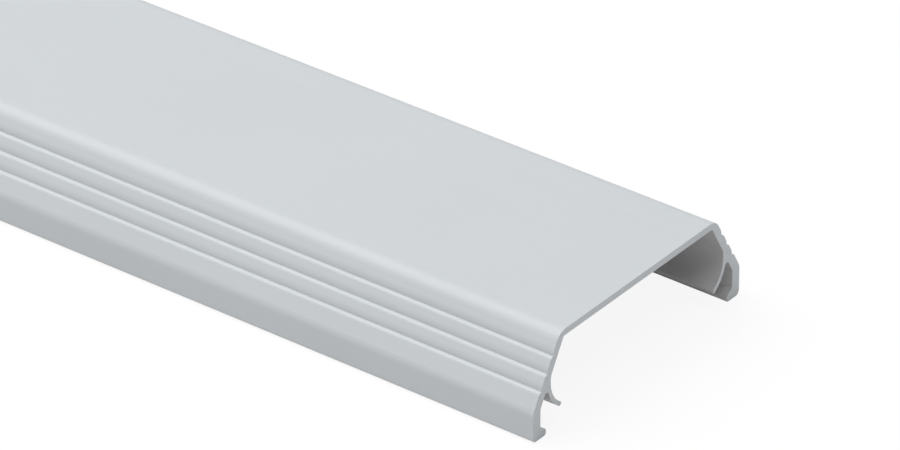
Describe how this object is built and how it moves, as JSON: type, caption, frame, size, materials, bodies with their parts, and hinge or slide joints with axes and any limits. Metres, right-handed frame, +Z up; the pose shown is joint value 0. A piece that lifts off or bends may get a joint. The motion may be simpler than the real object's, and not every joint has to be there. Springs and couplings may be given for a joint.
{
  "type": "cord cover raceway",
  "caption": "Extruded snap-fit cover of a cord raceway: flat top, stepped sloping sides, upright skirts with an inward lip, and thin curved snap legs inside.",
  "frame": {"origin": "under the middle of the cover, on the plane that its feet stand on", "axes": "+X along the stock's length, +Y across its width, +Z up through the flat top"},
  "size_m": [1, 0.104, 0.0322],
  "materials": {
    "light_grey_pvc": "satin, faint lengthwise die lines"
  },
  "bodies": {
    "root": {"raceway_cover": "light_grey_pvc"}
  },
  "joints": []
}
